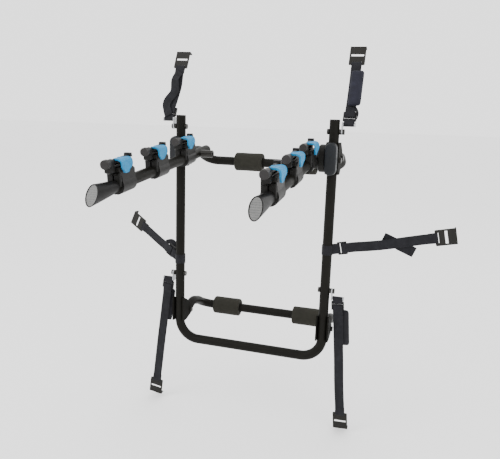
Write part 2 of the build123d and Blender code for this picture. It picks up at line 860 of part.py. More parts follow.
right = (1, 0, 0)
left = (-1, 0, 0)
up = (0, 0, 1)
down = (0, 0, -1)
upper_pad = (upper_pad_width, upper_pad_length, upper_pad_start, upper_pad_shift, -1)
lower_left_pad = (lower_left_pad_width, lower_pad_length, lower_pad_start,
                  -lower_left_pad_shift, 1)
lower_right_pad = (lower_right_pad_width, lower_pad_length, lower_pad_start,
                   -lower_right_pad_shift, 1)
write_strap("upper_left", (-pin_middle, 0, upper_pin_height), upper_left_run, right, loop_length)
write_strap("upper_right", (pin_middle, 0, upper_pin_height), upper_right_run, right, loop_length,
            upper_pad)
write_strap("lower_left", (-pin_middle, 0, lower_pin_height), lower_left_run, left, loop_length,
            lower_left_pad)
write_strap("lower_right", (pin_middle, 0, lower_pin_height), lower_right_run, left, loop_length,
            lower_right_pad)
write_strap("side_left", (-frame_half_width, 0, side_left_height), side_left_run, up, stub_length)
write_strap("side_right", (frame_half_width, 0, side_right_height), side_right_run, down,
            stub_length)
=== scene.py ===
import math

import bmesh
import bpy
from mathutils import Matrix, Vector, noise


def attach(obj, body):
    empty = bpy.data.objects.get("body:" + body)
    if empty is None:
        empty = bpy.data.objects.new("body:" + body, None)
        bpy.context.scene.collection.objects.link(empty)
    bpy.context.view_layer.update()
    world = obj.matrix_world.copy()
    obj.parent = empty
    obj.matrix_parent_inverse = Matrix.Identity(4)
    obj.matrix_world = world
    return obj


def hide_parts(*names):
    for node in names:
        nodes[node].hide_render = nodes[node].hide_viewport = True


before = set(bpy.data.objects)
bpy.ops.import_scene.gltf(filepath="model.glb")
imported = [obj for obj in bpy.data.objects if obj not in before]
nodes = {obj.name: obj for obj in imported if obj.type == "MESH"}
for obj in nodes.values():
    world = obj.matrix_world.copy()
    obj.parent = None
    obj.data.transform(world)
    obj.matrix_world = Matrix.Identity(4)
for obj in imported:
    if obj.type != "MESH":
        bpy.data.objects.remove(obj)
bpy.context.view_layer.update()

# Camera. It stands in front of the rack, to its right and a little above the arms, and is
# rolled by under two degrees.
camera_side = math.radians(17.1)
camera_height = math.radians(11.3)
camera_roll = math.radians(1.79)
camera_place = Vector((0.4613, -1.7542, 0.135))
camera_back = Vector(
    (
        math.sin(camera_side) * math.cos(camera_height),
        -math.cos(camera_side) * math.cos(camera_height),
        math.sin(camera_height),
    )
)
level_right = (-camera_back).cross(Vector((0, 0, 1))).normalized()
level_up = level_right.cross(-camera_back)
camera_right = math.cos(camera_roll) * level_right + math.sin(camera_roll) * level_up
camera_up = math.cos(camera_roll) * level_up - math.sin(camera_roll) * level_right
camera_data = bpy.data.cameras.new("camera")
camera_data.lens = 39.38
camera_data.sensor_width = 36
camera_data.clip_end = 100
camera = bpy.data.objects.new("camera", camera_data)
turned = Matrix((camera_right, camera_up, camera_back)).transposed().to_4x4()
camera.matrix_world = Matrix.Translation(camera_place) @ turned
bpy.context.scene.collection.objects.link(camera)
bpy.context.scene.camera = camera

# Webbing straps. Six lengths of flat woven polyester, 28 mm wide, tie the rack to the car.
# Each goes round the middle bar of its buckle, runs to its hook, turns round the hook's bar
# and comes back behind itself.
mm = 0.001
webbing_width = 28 * mm
webbing_thickness = 1.8 * mm
origin_back = 241.5 * mm
origin_height = 549 * mm
pin_side = 265.5
upper_pin_height = 680
lower_pin_height = 190
upright_side = 227.5


def on_frame(x, y, z):
    """A point given in millimetres from the middle of the frame's bottom bar."""
    return Vector((x * mm, y * mm - origin_back, z * mm - origin_height))


def strap_place(start, end, sideways):
    """The strap's own frame: Z from anchor to hook, X across the webbing, Y towards the car."""
    along = (end - start).normalized()
    across = Vector(sideways)
    across = (across - along * across.dot(along)).normalized()
    behind = along.cross(across)
    turn = Matrix((across, behind, along)).transposed().to_4x4()
    return Matrix.Translation(start) @ turn


def node_group(material):
    """The nodes and links of a fresh material, with its shader."""
    material.use_nodes = True
    tree = material.node_tree
    return tree.nodes, tree.links, tree.nodes["Principled BSDF"]


def woven(name, dark, light, rib):
    """Woven cloth: ribs across the webbing, a finer warp along it, and faint uneven dye."""
    material = bpy.data.materials.new(name)
    made, links, shader = node_group(material)
    where = made.new("ShaderNodeTexCoord")
    ribs = made.new("ShaderNodeTexWave")
    ribs.wave_type = "BANDS"
    ribs.bands_direction = "Y"
    ribs.inputs["Scale"].default_value = 1 / (rib * 20) * 2 * math.pi
    warp = made.new("ShaderNodeTexWave")
    warp.wave_type = "BANDS"
    warp.bands_direction = "X"
    warp.inputs["Scale"].default_value = 1 / (rib * 14) * 2 * math.pi
    dye = made.new("ShaderNodeTexNoise")
    dye.inputs["Scale"].default_value = 60
    dye.inputs["Detail"].default_value = 4
    links.new(where.outputs["UV"], ribs.inputs["Vector"])
    links.new(where.outputs["UV"], warp.inputs["Vector"])
    links.new(where.outputs["Object"], dye.inputs["Vector"])
    weave = made.new("ShaderNodeMath")
    weave.operation = "MULTIPLY"
    links.new(ribs.outputs["Fac"], weave.inputs[0])
    links.new(warp.outputs["Fac"], weave.inputs[1])
    shade = made.new("ShaderNodeMath")
    shade.operation = "MULTIPLY_ADD"
    shade.inputs[1].default_value = 0.5
    links.new(weave.outputs[0], shade.inputs[0])
    links.new(dye.outputs["Fac"], shade.inputs[2])
    colour = made.new("ShaderNodeValToRGB")
    colour.color_ramp.elements[0].position = 0.3
    colour.color_ramp.elements[0].color = (*dark, 1)
    colour.color_ramp.elements[1].position = 1.0
    colour.color_ramp.elements[1].color = (*light, 1)
    links.new(shade.outputs[0], colour.inputs["Fac"])
    links.new(colour.outputs["Color"], shader.inputs["Base Color"])
    bump = made.new("ShaderNodeBump")
    bump.inputs["Strength"].default_value = 0.5
    bump.inputs["Distance"].default_value = 0.4 * mm
    links.new(weave.outputs[0], bump.inputs["Height"])
    links.new(bump.outputs["Normal"], shader.inputs["Normal"])
    shader.inputs["Roughness"].default_value = 0.82
    shader.inputs["Specular IOR Level"].default_value = 0.2
    shader.inputs["Sheen Weight"].default_value = 0.06
    shader.inputs["Sheen Roughness"].default_value = 0.4
    return material


def spline_points(route):
    """Points along the smooth spline that the route's points control."""
    line = bpy.data.curves.new("route", "CURVE")
    line.dimensions = "3D"
    spline = line.splines.new("NURBS")
    spline.points.add(len(route) - 1)
    for point, place in zip(spline.points, route):
        point.co = (*place, 1)
    spline.order_u = 3
    spline.use_endpoint_u = True
    spline.resolution_u = 8
    holder = bpy.data.objects.new("route", line)
    mesh = bpy.data.meshes.new_from_object(holder)
    points = [v.co.copy() for v in mesh.vertices]
    bpy.data.objects.remove(holder)
    bpy.data.curves.remove(line)
    bpy.data.meshes.remove(mesh)
    return points


def select_only(piece):
    bpy.ops.object.select_all(action="DESELECT")
    bpy.context.view_layer.objects.active = piece
    piece.select_set(True)


def finished(piece, *modifiers):
    """The piece with these modifiers applied, each given as a type and its settings."""
    select_only(piece)
    for kind, settings in modifiers:
        modifier = piece.modifiers.new(kind.lower(), kind)
        for setting, value in settings.items():
            setattr(modifier, setting, value)
        bpy.ops.object.modifier_apply(modifier=modifier.name)
    bpy.ops.object.shade_smooth_by_angle(angle=math.radians(40))
    return piece


def ribbon(name, place, points, turns=(0, 0), width=webbing_width):
    """Webbing along a line in a strap's frame, twisted from angle to angle along its length."""
    shape = bmesh.new()
    across_count = 8
    texture = shape.loops.layers.uv.new("UVMap")
    count = len(points)
    travelled = [0.0]
    for a, b in zip(points, points[1:]):
        travelled.append(travelled[-1] + (b - a).length)
    total = travelled[-1]
    rows = []
    for number, point in enumerate(points):
        before = points[max(number - 1, 0)]
        after = points[min(number + 1, count - 1)]
        along = (after - before).normalized()
        share = travelled[number] / total * (len(turns) - 1)
        step = min(int(share), len(turns) - 2)
        angle = turns[step] + (turns[step + 1] - turns[step]) * (share - step)
        across = Vector((1, 0, 0))
        across = (across - along * across.dot(along)).normalized()
        across.rotate(Matrix.Rotation(math.radians(angle), 3, along))
        row = []
        for column in range(across_count + 1):
            side = column / across_count - 0.5
            row.append(shape.verts.new(place @ (point + across * side * width)))
        rows.append(row)
    for number in range(count - 1):
        low, high = travelled[number], travelled[number + 1]
        for column in range(across_count):
            corners = (
                (rows[number][column], column, low),
                (rows[number][column + 1], column + 1, low),
                (rows[number + 1][column + 1], column + 1, high),
                (rows[number + 1][column], column, high),
            )
            face = shape.faces.new([corner[0] for corner in corners])
            for loop, (_, step, far) in zip(face.loops, corners):
                loop[texture].uv = (step / across_count * width, far)
    mesh = bpy.data.meshes.new(name)
    shape.to_mesh(mesh)
    shape.free()
    piece = bpy.data.objects.new(name, mesh)
    bpy.context.scene.collection.objects.link(piece)
    thick = {"thickness": webbing_thickness, "offset": 0, "use_even_offset": True}
    rounded = {"width": 0.5 * mm, "segments": 2, "limit_method": "ANGLE"}
    finished(piece, ("SOLIDIFY", thick), ("BEVEL", rounded))
    piece.data.materials.append(webbing_cloth)
    return piece


webbing_cloth = woven("webbing_cloth", (0.00252, 0.00252, 0.0036), (0.01188, 0.01188, 0.01512),
                      1.6 * mm)

strap_ends = {
    "upper_left": (on_frame(-pin_side, 0, upper_pin_height), on_frame(-262, 68, 832), (1, 0, 0)),
    "upper_right": (on_frame(pin_side, 0, upper_pin_height), on_frame(267, 68, 842), (1, 0, 0)),
    "lower_left": (on_frame(-pin_side, 0, lower_pin_height), on_frame(-330, 42, -184), (-1, 0, 0)),
    "lower_right": (on_frame(pin_side, 0, lower_pin_height), on_frame(289, 42, -187), (-1, 0, 0)),
    "side_left": (on_frame(-upright_side, 0, 257), on_frame(-377, 45, 337), (0, 0, 1)),
    "side_right": (on_frame(upright_side, 0, 330), on_frame(514, 10, 388), (0, 0, -1)),
}
buckle_starts = {strap: 30 if strap.startswith("side") else 10 for strap in strap_ends}
middle_bar = 10.1
waves = {
    "upper_left": [(2, -3, 62), (2.5, 2, 86), (1, 4, 112)],
    "upper_right": [(0, 1.5, 72), (0, 1.5, 136)],
    "lower_left": [(0, -1.6, 70), (0, -1.6, 150), (0, -3, 215), (0, -2, 270)],
    "lower_right": [(0, -1.6, 70), (0, -1.6, 150), (0, -2, 210), (1, -4, 280)],
    "side_left": [(0, -3, 92)],
    "side_right": [(2, -2, 110), (3, -3, 160), (1, -1, 220)],
}
strap_places = {}
straps = {}
for strap, (start, end, sideways) in strap_ends.items():
    place = strap_place(start, end, sideways)
    strap_places[strap] = place
    long = (end - start).length / mm
    at = buckle_starts[strap]
    turn = at + middle_bar
    route = [
        (0, 4.5, turn + 13),
        (0, 4.5, turn + 3),
        (0, 4.5, turn),
        (0, -4.5, turn),
        (0, -4.5, turn + 3),
        (0, -4.5, at + 22),
        (0, -4.0, at + 30),
        (0, -1.5, at + 42),
    ]
    route += waves[strap]
    route += [
        (0, -0.5, long - 22),
        (0, -2.7, long - 8),
        (0, -2.9, long + 4),
        (0, -2.7, long + 7.1),
        (0, 2.7, long + 7.1),
        (0, 2.9, long + 4),
        (0, 2.8, long - 5),
        (0, 2.2, long - 17),
    ]
    line = spline_points([Vector(point) * mm for point in route])
    turns = (0, 0, 0, -6, 8, 4, 0, 0) if strap == "upper_left" else (0, 0)
    straps[strap] = ribbon("webbing_" + strap + "_run", place, line, turns)
    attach(straps[strap], strap + "_strap")
    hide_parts("webbing_" + strap)

# Sewn loops. At its anchor each strap starts as a short loop of the same webbing: round the
# pin on the upper and lower ones, round the upright on the side ones. The loop also holds
# the first bar of the buckle.
pin_loop_radius = 4.6 * mm
upright_loop_radius = 15.0 * mm
half_loop = 4.6
first_bar = 1.7
for strap, place in strap_places.items():
    if strap.startswith("side"):
        ring_radius = upright_loop_radius
        turned = Matrix.Identity(4)
        low = 12.0
    else:
        ring_radius = pin_loop_radius
        turned = Matrix.Rotation(math.radians(90), 4, "Y")
        low = 0.0
    start = strap_ends[strap][0]
    at = buckle_starts[strap] + first_bar
    route = [
        (0, half_loop, low + 1),
        (0, half_loop, (low + at) / 2),
        (0, half_loop, at),
        (0, half_loop * 0.9, at + 3.4),
        (0, 0, at + half_loop + 0.4),
        (0, -half_loop * 0.9, at + 3.4),
        (0, -half_loop, at),
        (0, -half_loop, (low + at) / 2),
        (0, -half_loop, low + 1),
    ]
    line = spline_points([Vector(point) * mm for point in route])
    stub = ribbon("webbing_" + strap + "_loop", place, line)
    bpy.ops.object.select_all(action="DESELECT")
    bpy.ops.mesh.primitive_cylinder_add(
        vertices=48, radius=ring_radius, depth=webbing_width, end_fill_type="NOTHING"
    )
    sleeve = bpy.context.object
    sleeve.name = "webbing_" + strap + "_sleeve"
    sleeve.data.transform(Matrix.Translation(start) @ turned)
    thick = {"thickness": webbing_thickness, "offset": 0, "use_rim": True}
    rounded = {"width": 0.5 * mm, "segments": 2, "limit_method": "ANGLE"}
    finished(sleeve, ("SOLIDIFY", thick), ("BEVEL", rounded))
    sleeve.data.materials.append(webbing_cloth)
    for piece in (stub, sleeve):
        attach(piece, strap + "_strap")

# Spare webbing. What is left over behind the buckles hangs out beside its strap: a long lobe
# on the upper left one, an open loop on the upper right one, short ends at two other buckles,
# and a tail folded back on itself that crosses behind the right side strap.
tails = {
    "upper_left": (
        [(4, -4, 152), (-9, -5, 134), (-4, -6, 110), (1, -6, 90), (-2, -8, 76), (-13, -9.5, 58),
         (-16, -9.5, 43), (-11, -8.5, 27), (-1, -8, 8)],
        (0, 8, 0, -12, -10, 10, 0),
        25 * mm,
    ),
    "upper_right": (
        [(5, 2, 58), (10, 0, 50), (19, -2, 38), (22, -3, 25), (17, -2, 11), (9, 1, 4)],
        (78, 72, 78),
        14 * mm,
    ),
    "side_left": (
        [(4, 4, 40), (14, 9, 44), (20, 12, 56), (14, 12, 70), (4, 8, 78)],
        (60, 40, 60),
        18 * mm,
    ),
    "lower_left": (
        [(7, 3, 30), (9, 8, 38), (8, 9, 50), (6, 6, 60)],
        (70, 60, 70),
        14 * mm,
    ),
}
for strap, (route, turns, width) in tails.items():
    line = spline_points([Vector(point) * mm for point in route])
    tail = ribbon("webbing_" + strap + "_tail", strap_places[strap], line, turns, width)
    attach(tail, strap + "_strap")
fold = [(-44, 4.5), (-46, 6), (-45, 8), (-25, 8.5), (0, 7.5), (25, 8.5), (45, 8), (46, 6),
        (44, 4.5), (25, 4), (0, 4)]
crossing_place = Vector((9, 0, 196)) * mm
crossing_slant = math.radians(34)
tail_line = spline_points([Vector((0, behind, along)) * mm for along, behind in fold])
slanted = Matrix.Translation(crossing_place) @ Matrix.Rotation(crossing_slant, 4, "Y")
crossing = ribbon("webbing_side_right_tail", strap_places["side_right"] @ slanted, tail_line)
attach(crossing, "side_right_strap")

# Hooks. Flat steel plates dipped in a black coating, with a slot for the webbing, a window to
# pull them by and a lip bent over at the end that catches the tailgate's edge.


def coated(name, colour, paler, roughness, grain, depth, metallic=0.0, coat=0.0, shine=0.14):
    """A hard finish: fine grain, and colour and gloss that drift a little over the surface."""
    material = bpy.data.materials.new(name)
    made, links, shader = node_group(material)
    where = made.new("ShaderNodeTexCoord")
    drift = made.new("ShaderNodeTexNoise")
    drift.inputs["Scale"].default_value = 22
    drift.inputs["Detail"].default_value = 6
    drift.inputs["Roughness"].default_value = 0.65
    links.new(where.outputs["Object"], drift.inputs["Vector"])
    tint = made.new("ShaderNodeValToRGB")
    tint.color_ramp.elements[0].position = 0.35
    tint.color_ramp.elements[0].color = (*colour, 1)
    tint.color_ramp.elements[1].position = 0.75
    tint.color_ramp.elements[1].color = (*paler, 1)
    links.new(drift.outputs["Fac"], tint.inputs["Fac"])
    links.new(tint.outputs["Color"], shader.inputs["Base Color"])
    gloss = made.new("ShaderNodeMapRange")
    gloss.inputs["From Min"].default_value = 0.3
    gloss.inputs["From Max"].default_value = 0.7
    gloss.inputs["To Min"].default_value = roughness - 0.06
    gloss.inputs["To Max"].default_value = roughness + 0.06
    links.new(drift.outputs["Fac"], gloss.inputs["Value"])
    links.new(gloss.outputs["Result"], shader.inputs["Roughness"])
    skin = made.new("ShaderNodeTexNoise")
    skin.inputs["Scale"].default_value = 1 / grain
    skin.inputs["Detail"].default_value = 3
    links.new(where.outputs["Object"], skin.inputs["Vector"])
    bump = made.new("ShaderNodeBump")
    bump.inputs["Strength"].default_value = 0.35
    bump.inputs["Distance"].default_value = depth
    links.new(skin.outputs["Fac"], bump.inputs["Height"])
    links.new(bump.outputs["Normal"], shader.inputs["Normal"])
    shader.inputs["Metallic"].default_value = metallic
    shader.inputs["Specular IOR Level"].default_value = shine
    shader.inputs["Coat Weight"].default_value = coat
    shader.inputs["Coat Roughness"].default_value = 0.18
    return material


def dress(names, material):
    """Give CAD nodes this material."""
    for name in names:
        mesh = nodes[name].data
        mesh.materials.clear()
        mesh.materials.append(material)


hook_coating = coated("hook_coating", (0.009, 0.00864, 0.00756), (0.0144, 0.01368, 0.01188),
                      0.52, 1.4 * mm, 0.25 * mm)
dress(["hook_" + strap for strap in strap_ends], hook_coating)

# Buckles. Ladder-lock buckles moulded in black plastic: two rails and three bars that the
# webbing is threaded through.
buckle_plastic = coated("buckle_plastic", (0.00432, 0.00432, 0.00468),
                        (0.00936, 0.00936, 0.00936), 0.45, 1.0 * mm, 0.12 * mm)
dress(["buckle_" + strap for strap in strap_ends], buckle_plastic)

# Padded covers. Three straps carry a stuffed cloth pad, in front of the webbing on the upper
# right one and behind it on the lower ones. The pads are sewn from two panels with piping
# round the edge, and are fuller in the middle.
cover_depth = 10.5
cover_from_webbing = 9.7
cover_seam = 2
# The last two columns are the cloth colour painted into the crease hollows as shade and onto the
# crease ridges as highlight.
cover_sizes = {
    "upper_right": (38, 105, 50, 8, -1, (0.00432, 0.00432, 0.01008), (0.01008, 0.01044, 0.01944)),
    "lower_left": (40, 116, 38, -4, 1, (0.00432, 0.00432, 0.00648), (0.01008, 0.01008, 0.01296)),
    # Painted shade: the lower right pad's cloth colours are the lower left one's darkened by a
    # quarter to a third.
    "lower_right": (46, 116, 38, -9, 1, (0.00288, 0.00288, 0.00432), (0.0072, 0.0072, 0.01008)),
}


def cover_cloth(name, dark, light):
    """Close woven nylon, with threads just seen and soft crease bumps, painted shade in the crease
    hollows and painted highlight on the crease ridges.
    """
    material = bpy.data.materials.new(name)
    made, links, shader = node_group(material)
    where = made.new("ShaderNodeTexCoord")
    threads = made.new("ShaderNodeTexVoronoi")
    threads.inputs["Scale"].default_value = 1 / (1.1 * mm)
    creases_and_painted_shade = made.new("ShaderNodeTexNoise")
    creases_and_painted_shade.inputs["Scale"].default_value = 45
    creases_and_painted_shade.inputs["Detail"].default_value = 5
    links.new(where.outputs["Object"], threads.inputs["Vector"])
    links.new(where.outputs["Object"], creases_and_painted_shade.inputs["Vector"])
    tint = made.new("ShaderNodeValToRGB")
    tint.color_ramp.elements[0].position = 0.35
    tint.color_ramp.elements[0].color = (*dark, 1)
    tint.color_ramp.elements[1].position = 0.7
    tint.color_ramp.elements[1].color = (*light, 1)
    # Painted shade and highlight: the crease noise that bumps the cloth also darkens its hollows
    # and lightens its ridges.
    links.new(creases_and_painted_shade.outputs["Fac"], tint.inputs["Fac"])
    links.new(tint.outputs["Color"], shader.inputs["Base Color"])
    fine = made.new("ShaderNodeBump")
    fine.inputs["Strength"].default_value = 0.3
    fine.inputs["Distance"].default_value = 0.3 * mm
    links.new(threads.outputs["Distance"], fine.inputs["Height"])
    broad = made.new("ShaderNodeBump")
    broad.inputs["Strength"].default_value = 0.5
    broad.inputs["Distance"].default_value = 1.5 * mm
    links.new(creases_and_painted_shade.outputs["Fac"], broad.inputs["Height"])
    links.new(fine.outputs["Normal"], broad.inputs["Normal"])
    links.new(broad.outputs["Normal"], shader.inputs["Normal"])
    shader.inputs["Roughness"].default_value = 0.75
    shader.inputs["Specular IOR Level"].default_value = 0.2
    shader.inputs["Sheen Weight"].default_value = 0.06
    shader.inputs["Sheen Roughness"].default_value = 0.5
    return material


def stuffed(piece, swell, most):
    """Blow the pad up as cloth held by its own stiffness, moving no point further than most."""
    rest = [vertex.co.copy() for vertex in piece.data.vertices]
    select_only(piece)
    cloth = piece.modifiers.new("stuffing", "CLOTH")
    cloth.settings.use_pressure = True
    cloth.settings.uniform_pressure_force = swell
    cloth.settings.effector_weights.gravity = 0
    cloth.settings.quality = 5
    cloth.point_cache.frame_end = 20
    for step in range(1, 21):
        bpy.context.scene.frame_set(step)
    blown = piece.evaluated_get(bpy.context.evaluated_depsgraph_get()).data
    moved = [vertex.co.copy() for vertex in blown.vertices]
    piece.modifiers.remove(cloth)
    bpy.context.scene.frame_set(1)
    for vertex, old, new in zip(piece.data.vertices, rest, moved):
        shift = new - old
        if shift.length > most:
            shift = shift.normalized() * most
        vertex.co = old + shift


def outline_of(piece, middle, count):
    """Points round the pad's edge, halfway through its thickness, in the pad's own frame."""
    points = []
    for step in range(count):
        angle = 2 * math.pi * step / count
        out = Vector((math.cos(angle), 0, math.sin(angle)))
        hit, place, _, _ = piece.ray_cast(middle + out * 0.2, -out)
        points.append(place if hit else middle)
    return points


for strap, (width, length, low, shift, face, dark, light) in cover_sizes.items():
    cloth = cover_cloth("cover_cloth_" + strap, dark, light)
    bpy.ops.object.select_all(action="DESELECT")
    middle = Vector((shift, face * cover_from_webbing, low + length / 2)) * mm
    bpy.ops.mesh.primitive_cube_add(size=1)
    pad = bpy.context.object
    pad.name = "cover_pad_" + strap
    sewn_width = (width - 2 * cover_seam) * mm
    sewn_length = (length - 2 * cover_seam) * mm
    size = Matrix.Diagonal((sewn_width, cover_depth * mm, sewn_length, 1))
    pad.data.transform(Matrix.Translation(middle) @ size)
    round_edges = {"width": 5 * mm, "segments": 4, "limit_method": "ANGLE"}
    finished(pad, ("BEVEL", round_edges), ("REMESH", {"mode": "VOXEL", "voxel_size": 2.5 * mm}))
    stuffed(pad, 4.0, 3.2 * mm)
    finished(pad, ("SMOOTH", {"iterations": 4}), ("SUBSURF", {"levels": 1, "render_levels": 1}))
    edge = outline_of(pad, middle, 96)
    binding = bpy.data.curves.new("binding", "CURVE")
    binding.dimensions = "3D"
    binding.bevel_depth = 1.3 * mm
    binding.bevel_resolution = 3
    seam = binding.splines.new("NURBS")
    seam.points.add(len(edge) - 1)
    for point, at in zip(seam.points, edge):
        point.co = (*at, 1)
    seam.order_u = 3
    seam.use_cyclic_u = True
    seam.resolution_u = 2
    holder = bpy.data.objects.new("binding", binding)
    piping = bpy.data.objects.new("cover_piping_" + strap, bpy.data.meshes.new_from_object(holder))
    bpy.data.objects.remove(holder)
    bpy.context.scene.collection.objects.link(piping)
    for piece in (pad, piping):
        piece.data.transform(strap_places[strap])
        piece.data.materials.clear()
        piece.data.materials.append(cloth)
        select_only(piece)
        bpy.ops.object.shade_smooth()
        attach(piece, strap + "_strap")
    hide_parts("cover_" + strap)

# Anchors. A zinc plated plate on a bolt through each upright, top and bottom, with a headed
# pin that the strap's loop turns on.
zinc = coated("zinc_plate", (0.32, 0.33, 0.34), (0.52, 0.53, 0.54), 0.36, 0.8 * mm, 0.08 * mm,
              metallic=0.9)
dress(["anchor_plates"], zinc)

# Main frame. One length of 28 mm steel tube, bent to a square U and powder coated satin black,
# with a plastic plug in each open end. The brackets, bars and arms have the same coat.
frame_coat = coated("frame_coat", (0.0048, 0.0045, 0.0035), (0.0078, 0.0074, 0.0059), 0.5,
                    1.2 * mm, 0.2 * mm, shine=0.07)
dress(["main_frame", "upper_pad_bar", "lower_pad_bar", "arm_left", "arm_right"], frame_coat)
bracket_coat = coated("bracket_coat", (0.0046, 0.0044, 0.0036), (0.0074, 0.0071, 0.0058), 0.68,
                      1.2 * mm, 0.2 * mm, shine=0.04)
dress(["lower_brackets", "hub_brackets"], bracket_coat)
plug_plastic = coated("plug_plastic", (0.00576, 0.0054, 0.00468), (0.01008, 0.00972, 0.00864),
                      0.55, 0.9 * mm, 0.15 * mm)
dress(["frame_plugs"], plug_plastic)
bolt_finish = coated("bolt_finish", (0.0144, 0.01368, 0.01224), (0.036, 0.03456, 0.03168), 0.34,
                     0.7 * mm, 0.06 * mm, metallic=0.4)
dress(["frame_bolts", "pivot_bolts", "barrel_nuts"], bolt_finish)

# Hubs. Moulded covers over the steel brackets that the arms turn in, in a bluish charcoal
# plastic, and darker spacers between bracket and arm.
hub_plastic = coated("hub_plastic", (0.00828, 0.00936, 0.0108), (0.01368, 0.01512, 0.01728), 0.42,
                     0.9 * mm, 0.12 * mm, coat=0.1)
dress(["hub_covers"], hub_plastic)
dress(["arm_spacers"], plug_plastic)

# Foam sleeves. Two on each pad bar: thick tubes of closed-cell foam pushed over the steel,
# with a dull skin and soft, slightly uneven ends.
foam_skin = coated("foam_skin", (0.0148, 0.0141, 0.0108), (0.0235, 0.0227, 0.0178), 0.85,
                   2.2 * mm, 0.7 * mm)
foam_radius = 29.3 * mm
foam_length = 92 * mm
foam_wall = 15.1 * mm
outer_skin_from = 18 * mm
sleeves = {
    "foam_upper_left": ("upper_pads", -78, 212, 549),
    "foam_upper_right": ("upper_pads", 100, 212, 549),
    "foam_lower_left": ("lower_pads", -140, 205, 47),
    "foam_lower_right": ("lower_pads", 140, 205, 47),
}
for name, (body, x, y, z) in sleeves.items():
    axis = on_frame(x, y, z)
    bpy.ops.object.select_all(action="DESELECT")
    bpy.ops.mesh.primitive_cylinder_add(
        vertices=96, radius=foam_radius, depth=foam_length, end_fill_type="NOTHING"
    )
    sleeve = bpy.context.object
    sleeve.name = name
    bpy.ops.object.mode_set(mode="EDIT")
    bpy.ops.mesh.select_all(action="DESELECT")
    shape = bmesh.from_edit_mesh(sleeve.data)
    for side in shape.edges:
        side.select = abs(side.verts[0].co.z - side.verts[1].co.z) > foam_length / 2
    bmesh.update_edit_mesh(sleeve.data)
    bpy.ops.mesh.subdivide(number_cuts=15)
    bpy.ops.object.mode_set(mode="OBJECT")
    wall = {"thickness": foam_wall, "offset": -1, "use_rim": True}
    ends = {"width": 4.5 * mm, "segments": 5, "limit_method": "ANGLE"}
    finished(sleeve, ("SOLIDIFY", wall), ("BEVEL", ends))
    turned = Matrix.Rotation(math.radians(90), 4, "Y")
    sleeve.data.transform(Matrix.Translation(axis) @ turned)
    for vertex in sleeve.data.vertices:
        out = Vector((0, vertex.co.y - axis.y, vertex.co.z - axis.z))
        if out.length > outer_skin_from:
            vertex.co += out.normalized() * 0.5 * mm * noise.noise(vertex.co * 60)
    sleeve.data.materials.append(foam_skin)
    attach(sleeve, body)
    if "left" in name:
        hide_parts("upper_foam" if body == "upper_pads" else "lower_foam")

# Arm ends. A moulded cap carries on from each arm and flares to a slanted mouth, which holds
# a clear prismatic reflector, the glint of its prisms painted into its grey colour.
cap_plastic = coated("cap_plastic", (0.0065, 0.0065, 0.0065), (0.0105, 0.0105, 0.0105), 0.4,
                     1.0 * mm, 0.06 * mm, coat=0.02, shine=0.07)
dress(["arm_cap_left", "arm_cap_right"], cap_plastic)
lens = bpy.data.materials.new("reflector_lens")
made, links, shader = node_group(lens)
where = made.new("ShaderNodeTexCoord")
prisms = made.new("ShaderNodeTexVoronoi")
prisms.feature = "F1"
prisms.inputs["Scale"].default_value = 1 / (2.0 * mm)
prisms.inputs["Randomness"].default_value = 0.25
links.new(where.outputs["Object"], prisms.inputs["Vector"])
# Painted highlight: the base colour is lighter in the middle of each prism cell and darker at its
# edges, standing in for the glint of the prisms.
painted_glints = made.new("ShaderNodeValToRGB")
painted_glints.color_ramp.elements[0].position = 0.2
painted_glints.color_ramp.elements[0].color = (0.14, 0.14, 0.135, 1)
painted_glints.color_ramp.elements[1].position = 0.75
painted_glints.color_ramp.elements[1].color = (0.045, 0.045, 0.045, 1)
links.new(prisms.outputs["Distance"], painted_glints.inputs["Fac"])
links.new(painted_glints.outputs["Color"], shader.inputs["Base Color"])
facets = made.new("ShaderNodeBump")
facets.inputs["Strength"].default_value = 0.8
facets.inputs["Distance"].default_value = 0.8 * mm
links.new(prisms.outputs["Distance"], facets.inputs["Height"])
links.new(facets.outputs["Normal"], shader.inputs["Normal"])
shader.inputs["Roughness"].default_value = 0.3
shader.inputs["Metallic"].default_value = 0.2
shader.inputs["Coat Weight"].default_value = 0.15
dress(["reflector_left", "reflector_right"], lens)

# Cradles. Three on each arm, moulded in charcoal plastic with a fine spark-eroded grain. A
# fluted knob at the front turns the shaft that clamps the jaw, and a hollow ribbed saddle
# lies on top under the jaw.
arm_side = 175
arm_pivot_height = 583
arm_drop = math.radians(6.2)
first_cradle = 80.5
cradle_pitch = 175
saddle_width = 15
saddle_length = 43
saddle_middle = -20
saddle_top = 45.4
cradle_plastic = coated("cradle_plastic", (0.00612, 0.005904, 0.0054), (0.0108, 0.01044, 0.00972),
                        0.46, 0.8 * mm, 0.14 * mm)
knob_plastic = coated("knob_plastic", (0.019, 0.0178, 0.0175), (0.03, 0.0283, 0.028), 0.5,
                      0.8 * mm, 0.14 * mm)
cradles = [hand + "_" + str(number) for hand in ("left", "right") for number in (1, 2, 3)]
dress(["cradle_" + cradle for cradle in cradles], cradle_plastic)
dress(["knob_" + cradle for cradle in cradles], knob_plastic)


def cradle_place(cradle):
    """A cradle's own frame: its collar's middle, with Y along the arm towards the car."""
    hand, number = cradle.split("_")
    side = -arm_side if hand == "left" else arm_side
    reach = first_cradle + cradle_pitch * (int(number) - 1)
    pivot = Matrix.Translation(on_frame(side, 0, arm_pivot_height))
    along_arm = Matrix.Translation((0, -reach * mm, 0))
    return pivot @ Matrix.Rotation(arm_drop, 4, "X") @ along_arm


